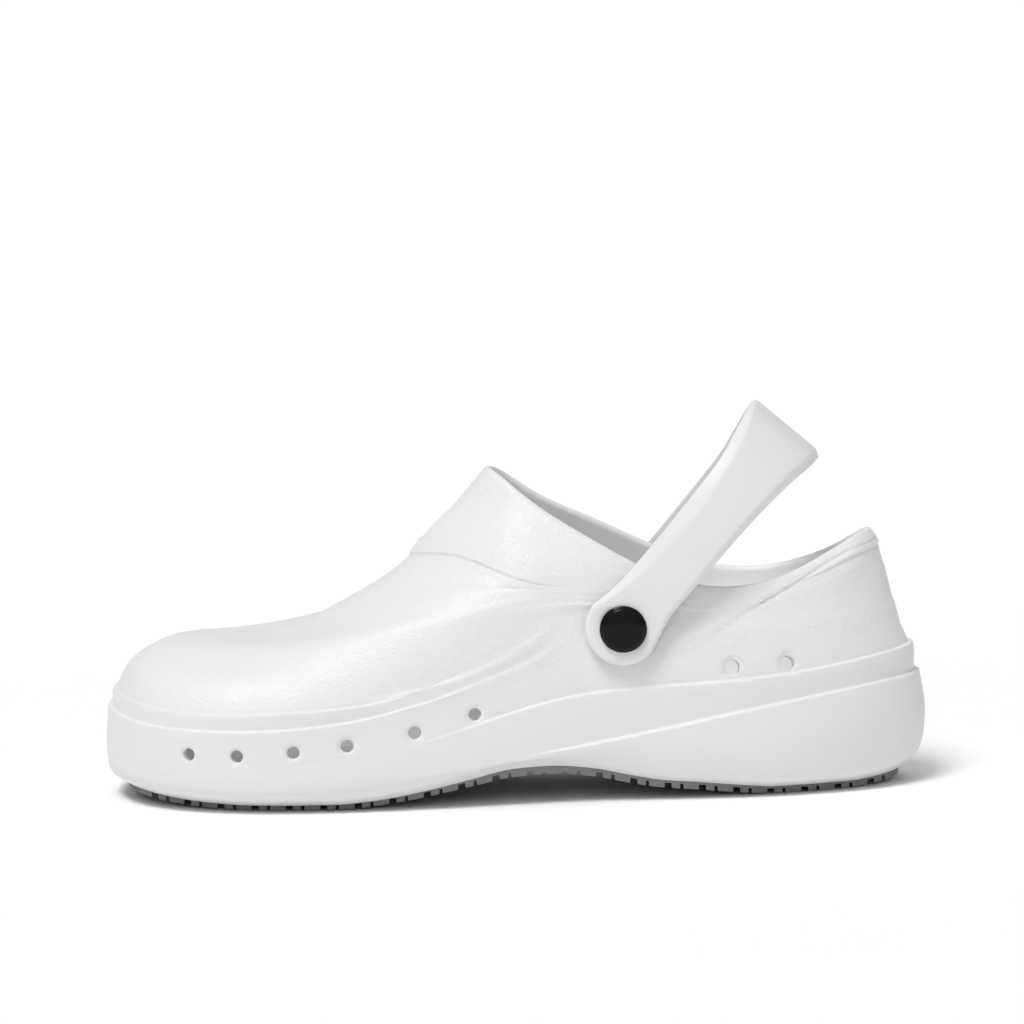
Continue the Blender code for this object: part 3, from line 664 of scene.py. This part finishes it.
def relief(levels, rings, points, v):
    """How far the fine wall stands out of the plain one: steps, lines, dimples and rolled collar."""
    room = np.linalg.norm(np.diff(rings, axis=0), axis=2)
    run = np.concatenate([np.zeros((1, rings.shape[1])), np.cumsum(room, axis=0)])
    whole = np.minimum(levels.astype(int), len(rings) - 2)
    heights = run[whole] + (levels - whole)[:, None] * room[whole]
    x, z = points[..., 0], points[..., 2]
    out = np.zeros_like(heights)
    for name, below, above, start, end in STEPS:
        number = RING_NUMBER[name]
        passed = fade(heights - run[number], -STEP_WIDTH / 2, STEP_WIDTH / 2)
        tail = 1 - fade(np.abs(levels - number), 0, 1)[:, None]
        out += (below * (1 - passed) + above * passed) * tail * fade(v, start, end)
    for course, below, above, depth, width, front, back in SIDE_LINES.values():
        over, place = side_line(course, x, z)
        strength = fade(place, *front) * fade(place, *back)
        passed = fade(over, -STEP_WIDTH / 2, STEP_WIDTH / 2)
        tail = 1 - fade(np.abs(over), 0, LINE_REACH)
        out += (below * (1 - passed) + above * passed) * tail * strength
        out -= depth * np.exp(-((over / width) ** 2)) * strength
    for hole_x, hole_z, _ in HOLES:
        away = np.hypot(x - hole_x * LENGTH, z - hole_z * INSTEP_HEIGHT) / DIMPLE_WIDTH
        out -= DIMPLE_DEPTH * np.exp(-away * away)
    # The rolled edge of the collar round the heel
    share = np.clip(1 - (run[-1] - heights) / ROLL_HEIGHT, 0, 1)
    out += ROLL_DEPTH * np.sin(math.pi * np.sqrt(share)) * fade(v, *ROLL_SPAN)
    return out


def outer_wall(v, side):
    """The fine outer wall, and the ring numbers of its rows."""
    levels = wall_levels()
    rings = wall_rings(v, side)
    points = between_rings(rings, levels)
    normals = outward(points)
    return points + normals * relief(levels, rings, points, v)[..., None], levels


def body_rings():
    """Every ring of the body, and how strong the grain of the foam is on it."""
    v, side = round_the_shoe(AROUND)
    outer, levels = outer_wall(v, side)
    base = wall_points([0.0], v, side)[0]
    lip = inset(base, LIP_INSET)
    pocket = lip.copy()
    pocket[:, 2] = sole_line(pocket[:, 0], 1) + SOLE_THICKNESS + 2 * GAP
    numbers = [RING_NUMBER[name] for name in INNER_RINGS]
    plain = wall_points(range(len(RINGS)), v, side)
    normals = outward(plain)
    upright = fade(v, *LEVEL_SPAN)[:, None]
    normals = unit(normals * (1 - upright) + normals * (1, 1, 0) * upright)
    wall = np.linspace(WALL_LOW, WALL_RIM, len(numbers))
    coarse = np.stack([plain[n] - normals[n] * w for n, w in zip(numbers, wall)])
    inner = between_rings(coarse, np.arange(0, len(numbers) - 0.9, 0.25))
    # Rolled rim over the top of the wall
    way = ring_up(plain[-1], normals[-1])
    centre = plain[-1] - normals[-1] * WALL_RIM / 2
    rim = []
    for angle in np.radians(np.linspace(0, 180, 13)[1:-1]):
        rim.append(centre + (normals[-1] * math.cos(angle) + way * math.sin(angle)) * WALL_RIM / 2)
    fillet = inset(coarse[0], FILLET_START)
    fillet[:, 2] = sole_line(fillet[:, 0], 3) + FLOOR_FILLET
    floor = inset(coarse[0], FILLET_START + FLOOR_FILLET)
    floor[:, 2] = sole_line(floor[:, 0], 3)
    # Grain: full over the last, weak on the sole, the rim and inside
    over_ribs, over_step = (
        fade(levels, RING_NUMBER[name] - GRAIN_EDGE, RING_NUMBER[name] + GRAIN_EDGE)[:, None]
        for name in ("upper rib", "upper step")
    )
    rear = fade(v, *REAR_SPAN)[None, :]
    outer_grain = WEAK_GRAIN + (1 - WEAK_GRAIN) * np.maximum(over_ribs, over_step * rear)
    rest = np.full(len(v), WEAK_GRAIN)
    grain = [rest] * 2 + list(outer_grain) + [rest] * (len(rim) + len(inner) + 2)
    return [pocket, lip, *outer, *rim, *inner[::-1], fillet, floor], grain


def wall_at(x, z, side):
    """Nearest point of the outer wall to a place seen from the side, and its normal."""
    v, sides = round_the_shoe(SEEK_AROUND)
    levels = np.linspace(2, RING_NUMBER["toe top"], 60)
    points = wall_points(levels, v, sides)
    normals = outward(points)
    away = (points[..., 0] - x) ** 2 + (points[..., 2] - z) ** 2 + np.where(sides == side, 0, 1)
    best = np.unravel_index(np.argmin(away), away.shape)
    return points[best], normals[best]


def strap_frame():
    """Unit vectors along the arms of the strap, and across them towards the upper edge."""
    along = np.array([-math.cos(STRAP_ANGLE), 0, math.sin(STRAP_ANGLE)])
    up = np.array([math.sin(STRAP_ANGLE), 0, math.cos(STRAP_ANGLE)])
    return along, up


def pivot_place(side):
    """Where a rivet stands, seen from the side: the loop leans, so the inner one is lower."""
    place = np.array([PIVOT_X, 0, PIVOT_Z])
    return place if side > 0 else place - strap_frame()[1] * STRAP_LEAN


def pivot_side(side):
    """How far out the wall reaches under the round end of the strap."""
    x, _, z = pivot_place(side)
    v, sides = round_the_shoe(SEEK_AROUND)
    keep = sides == side
    levels = np.linspace(RING_NUMBER["hole line"], RING_NUMBER["toe top"], 40)
    flat = wall_points(levels, v[keep], sides[keep]).reshape(-1, 3)
    away = np.hypot(flat[:, 0] - x, flat[:, 2] - z)
    return side * np.abs(flat[away < STRAP_END_WIDTH, 1]).max()


def bore_cutter(name, spot, side):
    """A bar across the shoe that leaves room for a rivet's shank."""
    bore = SHANK_RADIUS + GAP
    profile = [(0, BORE_REACH), (bore, BORE_REACH), (bore, -BORE_REACH), (0, -BORE_REACH)]
    return turned(name, profile, spot, (0, side, 0), sides=24)


def make_body(look, pivots):
    rings, grain = body_rings()
    body = finished("clog_shell", shell(rings, grain), look, "clog_body")
    cutters = []
    for number, (x, z, width) in enumerate(HOLES):
        for side in (1, -1):
            spot, normal = wall_at(x * LENGTH, z * INSTEP_HEIGHT, side)
            radius = width / 2
            # The rim of a hole rolls into it: a quarter round, then the bore
            low = DIMPLE_DEPTH + FLARE
            flare = arc((radius + FLARE, -low), FLARE, 105, 180, 7)
            wide = flare[0][0] + CUT_SPREAD
            profile = [
                (0, CUT_REACH), (wide, CUT_REACH), *flare, (radius, -HOLE_DEPTH), (0, -HOLE_DEPTH),
            ]
            cutters.append(turned(f"hole {number} {side}", profile, spot, normal, sides=28))
    for pivot, side in pivots:
        cutters.append(bore_cutter(f"pivot hole {side}", pivot, side))
    cut(body, cutters)
    return body


# Strap

def section(up, low, upper_chamfer, lower_chamfer):
    """Half-open loop of the band's section: (across, out), softly rounded at its corners."""
    thick = STRAP_THICKNESS
    drop = STRAP_DROP * thick
    base, edge, face = STRAP_SOFT
    corners = (
        (-low, 0.0, base),
        (-low, thick - min(lower_chamfer, drop), edge),
        (-low + lower_chamfer, thick, face),
        (up - upper_chamfer, thick, face),
        (up, thick - min(upper_chamfer, drop), edge),
        (up, 0.0, base),
    )
    loop = []
    for n, (across, out, radius) in enumerate(corners):
        here = np.array([across, out])
        before = np.array(corners[n - 1][:2]) - here
        after = np.array(corners[(n + 1) % len(corners)][:2]) - here
        start = here + unit(before) * min(radius, 0.4 * np.linalg.norm(before))
        end = here + unit(after) * min(radius, 0.4 * np.linalg.norm(after))
        for t in (0.0, 0.25, 0.5, 0.75, 1.0):
            loop.append((1 - t) ** 2 * start + 2 * t * (1 - t) * here + t * t * end)
    return np.array(loop)


def make_strap(look, outer_y, inner_y):
    """The band round the heel: two round ends, then arms that widen and turn into the back of the loop."""
    rows = np.array(STRAP_ROWS)
    order = np.arange(len(rows), dtype=float)
    fine = np.linspace(0, order[-1], 65)
    arm = np.stack([calm(order, rows[:, n], fine) for n in range(rows.shape[1])], axis=-1)
    both = np.concatenate([arm, arm[-2::-1]])
    sides = np.concatenate([np.ones(len(arm)), -np.ones(len(arm) - 1)])
    half, centre = (outer_y - inner_y) / 2, (outer_y + inner_y) / 2
    path = np.stack([both[:, 0] * STRAP_REACH, centre + both[:, 1] * half * sides], axis=-1)
    tangent = unit(np.gradient(path, axis=0))
    out = np.stack([-tangent[:, 1], tangent[:, 0]], axis=-1)
    along, up = strap_frame()
    pivot = pivot_place(1)

    def placed(place, normal, loop, back):
        spots = pivot + along * (place[0] + normal[0] * loop[:, 1:] + back[:, None]) + up * loop[:, :1]
        spots[:, 1] = place[1] + normal[1] * loop[:, 1]
        lean = STRAP_LEAN * (outer_y - spots[:, 1:2]) / (outer_y - inner_y)
        return spots - up * lean

    loops = []
    for place, normal, row in zip(path, out, both):
        loop = section(row[2] * STRAP_HALF_WIDTH, row[3] * STRAP_HALF_WIDTH, row[4], row[5])
        loops.append((place, normal, loop))
    rings = []
    turns = np.radians(np.linspace(90, 0, 15)[:-1])
    # A round end is the first section folded back about the pivot, down to a single line
    ends = []
    for place, normal, loop in (loops[0], loops[-1]):
        folded = []
        for turn in turns:
            flat = loop.copy()
            flat[:, 0] *= math.cos(turn)
            back = -np.abs(loop[:, 0]) * math.sin(turn)
            folded.append(placed(place, normal, flat, back))
        ends.append(folded)
    rings += ends[0]
    rings += [placed(place, normal, loop, np.zeros(len(loop))) for place, normal, loop in loops]
    rings += ends[1][::-1]
    work, _ = sleeve(rings)
    strap = finished("strap_band", merged(work), look, "heel_strap")
    cutters = []
    for side, face_y in ((1, outer_y), (-1, inner_y)):
        spot = pivot_place(side) + np.array([0, face_y, 0])
        cutters.append(bore_cutter(f"strap hole {side}", spot, side))
    cut(strap, cutters)
    return strap


def make_rivet(word, pivot, side, button, metal):
    """Domed button with its shank, and the counter-washer inside the wall."""
    top = STRAP_THICKNESS + GAP
    seat = -(WALL_LOW + STRAP_CLEARANCE + WASHER_SEAT)
    end = seat - WASHER_THICKNESS
    edge = arc((CAP_RADIUS - CAP_EDGE, top + CAP_EDGE), CAP_EDGE, -90, 60, 7)
    rise = CAP_HEIGHT - CAP_BASE
    dome = [
        ((CAP_RADIUS - CAP_INSET) * math.cos(a), top + CAP_BASE + rise * math.sin(a))
        for a in np.radians(np.linspace(4, 90, 18))
    ]
    dome[-1] = (0, dome[-1][1])
    shank = [
        (0, end), (SHANK_RADIUS - SHANK_CHAMFER, end), (SHANK_RADIUS, end + SHANK_CHAMFER),
        (SHANK_RADIUS, top),
    ]
    profile = [*shank, *edge, *dome]
    turned(f"button_{word}", profile, pivot, (0, side, 0), button, f"rivet_{word}", 96)
    bore = SHANK_RADIUS + GAP
    washer = [
        (bore, end), (WASHER_RADIUS - WASHER_CHAMFER, end), (WASHER_RADIUS, end + WASHER_CHAMFER),
        (WASHER_RADIUS, seat), (bore, seat), (bore, end),
    ]
    turned(f"backing_{word}", washer, pivot, (0, side, 0), metal, f"washer_{word}", 64)


# Outsole and insole

def make_outsole(look):
    """Rubber sheet in the pocket, with blocks of two lengths pressed down from its underside."""
    v, side = round_the_shoe(128)
    outline = inset(wall_points([0.0], v, side)[0], LIP_INSET + GAP)
    half = len(outline) // 2
    outer_side = outline[: half + 1]
    inner_side = np.roll(outline, -half, axis=0)[: half + 1][::-1]
    start_x, end_x = outline[:, 0].min() + LUG_END, outline[:, 0].max() - LUG_END
    widths = np.array(LUG_CYCLE * LUG_CYCLES + LUG_CYCLE[:3])
    places = start_x + (end_x - start_x) * np.concatenate([[0], np.cumsum(widths)]) / widths.sum()
    across = np.array([LUG_SHARE if i % 2 else GROOVE_SHARE for i in range(LUG_STRIPS)])
    across[0] = across[-1] = EDGE_SHARE
    shares = np.concatenate([[0], np.cumsum(across)]) / across.sum()
    last = len(shares) - 1
    left = np.interp(places, outer_side[:, 0], outer_side[:, 1])
    right = np.interp(places, inner_side[:, 0], inner_side[:, 1])
    ground = sole_line(places, 1)
    y = left[:, None] + (right - left)[:, None] * shares
    x, z = (np.repeat(row[:, None], last + 1, 1) for row in (places, ground))
    bottom = np.stack([x, y, z], -1)
    bottom[..., 2] += LUG_HEIGHT
    work, _ = grid(moved(bottom))
    work.faces.ensure_lookup_table()
    lower = list(work.faces)
    sheet = bmesh.ops.extrude_face_region(work, geom=lower)["geom"]
    for corner in (part for part in sheet if isinstance(part, bmesh.types.BMVert)):
        corner.co.z += SOLE_THICKNESS - LUG_HEIGHT
    bmesh.ops.recalc_face_normals(work, faces=work.faces)
    lugs = []
    for face in lower:
        if not face.is_valid:
            continue
        centre = face.calc_center_median()
        x = centre.x + MIDDLE[0]
        i = int(np.searchsorted(places, x)) - 1
        spread = np.interp(x, places, left), np.interp(x, places, right)
        share = (centre.y + MIDDLE[1] - spread[0]) / (spread[1] - spread[0])
        j = int(np.searchsorted(shares, share)) - 1
        if i % 2 == 0 and j % 2 == 1:
            lugs.append(face)
    made = bmesh.ops.extrude_discrete_faces(work, faces=lugs)["faces"]
    for face in made:
        centre = face.calc_center_median()
        for corner in face.verts:
            corner.co.x += (centre.x - corner.co.x) * LUG_TAPER
            corner.co.y += (centre.y - corner.co.y) * LUG_TAPER
            corner.co.z = sole_line(corner.co.x + MIDDLE[0], 1)
    rims = list({edge for face in made for edge in face.edges})
    bmesh.ops.bevel(
        work, geom=rims, offset=LUG_BEVEL, offset_type="OFFSET", segments=1, profile=0.5,
        affect="EDGES", material=-1, clamp_overlap=True,
    )
    return finished("sole_rubber", work, look, "outsole", smooth=False)


def make_insole(look):
    """Loose flat insole on the floor inside, with softened edges."""
    floor = body_rings()[0][-1]
    base = inset(floor, 2 * GAP)
    base[:, 2] = sole_line(base[:, 0], 3) + GAP
    rings = [base]
    for angle in np.radians((180, 150, 120, 90)):
        out = inset(floor, GAP + INSOLE_EDGE * (1 + math.cos(angle)))
        rise = INSOLE_THICKNESS - INSOLE_EDGE + INSOLE_EDGE * math.sin(angle)
        out[:, 2] = sole_line(out[:, 0], 3) + GAP + rise
        rings.append(out)
    low = inset(floor, GAP)
    low[:, 2] = sole_line(low[:, 0], 3) + GAP + INSOLE_EDGE
    rings.insert(1, low)
    return finished("footbed_insole", shell(rings), look, "insole")


# Finishes

class Value:
    """A socket in a finish, so that sums with it read as arithmetic."""

    def __init__(self, look, socket):
        self.look, self.socket = look, socket

    def sum(self, operation, first, second):
        return self.look.node("ShaderNodeMath", {"operation": operation}, {0: first, 1: second})

    def __add__(self, other):
        return self.sum("ADD", self, other)

    def __mul__(self, other):
        return self.sum("MULTIPLY", self, other)

    __radd__, __rmul__ = __add__, __mul__


class Finish:
    """One material. Fixed numbers go on the shader's own sockets, and node() adds any node."""

    def __init__(self, name, **fixed):
        self.material = bpy.data.materials.new(name)
        self.material.use_nodes = True
        tree = self.material.node_tree
        self.nodes, self.links = tree.nodes, tree.links
        self.shader = tree.nodes["Principled BSDF"]
        for socket, value in fixed.items():
            self.feed(self.shader.inputs[socket.replace("_", " ")], value)
        self.place = self.node("ShaderNodeTexCoord", output="Object")

    def feed(self, socket, value):
        if isinstance(value, Value):
            self.links.new(value.socket, socket)
        else:
            socket.default_value = value

    def node(self, kind, settings=None, inputs=None, output=0):
        made = self.nodes.new(kind)
        for name, value in (settings or {}).items():
            if name == "stops":
                for stop, (position, colour) in zip(made.color_ramp.elements, value):
                    stop.position, stop.color = position, colour
            else:
                setattr(made, name, value)
        for name, value in (inputs or {}).items():
            self.feed(made.inputs[name], value)
        return Value(self, made.outputs[output])

    def noise(self, scale, detail=2.0, roughness=0.5):
        sockets = {"Vector": self.place, "Scale": scale, "Detail": detail, "Roughness": roughness}
        return self.node("ShaderNodeTexNoise", None, sockets)

    def pebbles(self, scale, feature="F1"):
        return self.node(
            "ShaderNodeTexVoronoi", {"feature": feature}, {"Vector": self.place, "Scale": scale}, "Distance"
        )

    def between(self, low, high, factor):
        """Colour between two, by a factor."""
        return self.node(
            "ShaderNodeMix", {"data_type": "RGBA"}, {"Factor": factor, 6: low, 7: high}, 2
        )

    def surface(self, colour, roughness, height, depth, strength=1.0):
        bump = self.node(
            "ShaderNodeBump", None, {"Height": height, "Distance": depth, "Strength": strength}
        )
        for socket, value in (("Base Color", colour), ("Roughness", roughness), ("Normal", bump)):
            self.feed(self.shader.inputs[socket], value)
        return self.material


def foam_finish(name, grained):
    """White moulded foam: satin, pebbled where the mould is, with the faintest clouding."""
    look = Finish(name, Specular_IOR_Level=0.42)
    clouds = look.noise(22, 3)
    colour = look.between((0.745, 0.745, 0.742, 1), (0.785, 0.785, 0.783, 1), clouds)
    fine = look.noise(2600, 2)
    pebble = look.pebbles(1000, "SMOOTH_F1")
    soft = look.noise(700, 1)
    if grained:
        grain = look.node("ShaderNodeAttribute", {"attribute_name": "grain"}, output="Fac")
        height = grain * (pebble * 0.9 + soft * 0.5) + fine * 0.12
    else:
        height = soft * 0.03 + fine * 0.06
    roughness = 0.40 + 0.12 * look.noise(90, 2)
    return look.surface(colour, roughness, height, 0.00018, 0.9)


def rubber_finish():
    """Dark grey outsole rubber, dull, with fine specks and a paler dusty face."""
    look = Finish("outsole rubber", Specular_IOR_Level=0.35)
    specks = look.noise(900, 2)
    dust = look.noise(45, 4, 0.6)
    colour = look.between((0.190, 0.193, 0.198, 1), (0.270, 0.275, 0.282, 1), dust)
    roughness = 0.62 + 0.2 * specks
    return look.surface(colour, roughness, specks + 0.4 * look.noise(2500, 1), 0.00012, 0.5)


def footbed_finish():
    """Off-white insole foam with small raised dots."""
    look = Finish("footbed", Specular_IOR_Level=0.3)
    dots = look.pebbles(230)
    weave = look.noise(1500, 2)
    colour = look.between((0.700, 0.700, 0.690, 1), (0.780, 0.780, 0.772, 1), dots)
    return look.surface(colour, 0.62 + 0.15 * weave, dots + 0.15 * weave, 0.0006, 0.6)


def button_finish(name, shade, gloss):
    """Glossy black of the rivet buttons, with hair scratches only the light finds."""
    look = Finish(name, Specular_IOR_Level=0.12)
    smear = look.noise(160, 3)
    scratch = look.noise(1800, 1)
    colour = look.between((shade, shade, shade, 1), (shade * 1.8, shade * 1.8, shade * 1.9, 1), smear)
    return look.surface(colour, gloss + 0.12 * smear, scratch, 0.00002, 0.3)


# Stage

def make_floor():
    work = bmesh.new()
    bmesh.ops.create_circle(work, cap_ends=True, segments=96, radius=FLOOR_RADIUS)
    mesh = bpy.data.meshes.new("floor")
    work.to_mesh(mesh)
    work.free()
    floor = bpy.data.objects.new("floor", mesh)
    bpy.context.scene.collection.objects.link(floor)
    look = Finish("pale floor", Roughness=0.9, Specular_IOR_Level=0.1)
    faint = look.noise(3, 2)
    colour = look.between((0.97, 0.97, 0.97, 1), (0.99, 0.99, 0.99, 1), faint)
    look.feed(look.shader.inputs["Base Color"], colour)
    # Away from the shoe the floor is a lit backdrop
    away = look.node("ShaderNodeVectorMath", {"operation": "LENGTH"}, {0: look.place}, "Value")
    near, far = GLOW_BAND
    lit = look.node("ShaderNodeMapRange", None, {"Value": away, "From Min": near, "From Max": far})
    look.feed(look.shader.inputs["Emission Color"], look.between((0, 0, 0, 1), (1, 1, 1, 1), lit))
    look.shader.inputs["Emission Strength"].default_value = GLOW
    mesh.materials.append(look.material)


def make_lights():
    """A soft key light from above, towards toe and outer side, and white all round, brightest
    from the horizon down."""
    scene = bpy.context.scene
    scene.view_settings.view_transform = "Standard"
    world = bpy.data.worlds.new("studio")
    scene.world = world
    world.use_nodes = True
    nodes, links = world.node_tree.nodes, world.node_tree.links
    nodes.remove(nodes["Background"])
    way = nodes.new("ShaderNodeTexCoord")
    split = nodes.new("ShaderNodeSeparateXYZ")
    links.new(way.outputs["Generated"], split.inputs[0])
    aside = nodes.new("ShaderNodeMath")
    aside.operation = "ABSOLUTE"
    links.new(split.outputs["X"], aside.inputs[0])

    def white(strength):
        shade = nodes.new("ShaderNodeBackground")
        shade.inputs["Color"].default_value = (1, 1, 1, 1)
        shade.inputs["Strength"].default_value = strength
        return shade.outputs[0]

    def blend(low, high, first, second, along):
        share = nodes.new("ShaderNodeMapRange")
        share.inputs["From Min"].default_value = low
        share.inputs["From Max"].default_value = high
        mixed = nodes.new("ShaderNodeMixShader")
        links.new(along, share.inputs["Value"])
        links.new(share.outputs["Result"], mixed.inputs[0])
        links.new(first, mixed.inputs[1])
        links.new(second, mixed.inputs[2])
        return mixed.outputs[0]

    sky = blend(*END_BAND, white(SKY_LIGHT), white(END_LIGHT), aside.outputs[0])
    sky = blend(*LEVEL_BAND, white(LEVEL_LIGHT), sky, split.outputs["Z"])
    links.new(sky, nodes["World Output"].inputs["Surface"])
    # Weak fills inside the shoe, which the side holes show
    for number, (spot, power, size) in enumerate(INNER_FILLS):
        fill = bpy.data.lights.new(f"fill {number}", "POINT")
        fill.energy, fill.shadow_soft_size = power, size
        lamp = bpy.data.objects.new(f"fill {number}", fill)
        lamp.location = spot
        scene.collection.objects.link(lamp)
    sun = bpy.data.lights.new("key", "SUN")
    sun.energy = KEY_LIGHT
    sun.angle = math.radians(KEY_SPREAD)
    lamp = bpy.data.objects.new("key", sun)
    lamp.rotation_mode = "QUATERNION"
    lamp.rotation_quaternion = Vector((0, 0, 1)).rotation_difference(Vector(KEY_FROM))
    scene.collection.objects.link(lamp)


def make_camera():
    back = Vector((0, math.cos(ELEVATION), math.sin(ELEVATION)))
    level, over = Vector((-1, 0, 0)), Vector((0, -math.sin(ELEVATION), math.cos(ELEVATION)))
    right = level * math.cos(ROLL) + over * math.sin(ROLL)
    up = over * math.cos(ROLL) - level * math.sin(ROLL)
    data = bpy.data.cameras.new("camera")
    data.lens, data.sensor_width = LENS, 36
    camera = bpy.data.objects.new("camera", data)
    spot = Vector(AIM) + back * DISTANCE
    camera.matrix_world = Matrix.Translation(spot) @ Matrix((right, up, back)).transposed().to_4x4()
    bpy.context.scene.collection.objects.link(camera)
    bpy.context.scene.camera = camera


def main():
    outer_y, inner_y = pivot_side(1) + STRAP_CLEARANCE, pivot_side(-1) - STRAP_CLEARANCE
    faces = ((1, outer_y), (-1, inner_y))
    pivots = [(pivot_place(side) + np.array([0, face_y, 0]), side) for side, face_y in faces]
    make_body(foam_finish("white foam", True), pivots)
    make_strap(foam_finish("strap foam", False), outer_y, inner_y)
    button = button_finish("black button", 0.005, 0.12)
    backing = button_finish("black backing", 0.02, 0.35)
    for word, (pivot, side) in zip(("outer", "inner"), pivots):
        make_rivet(word, pivot, side, button, backing)
    make_outsole(rubber_finish())
    make_insole(footbed_finish())
    make_floor()
    make_lights()
    make_camera()


main()
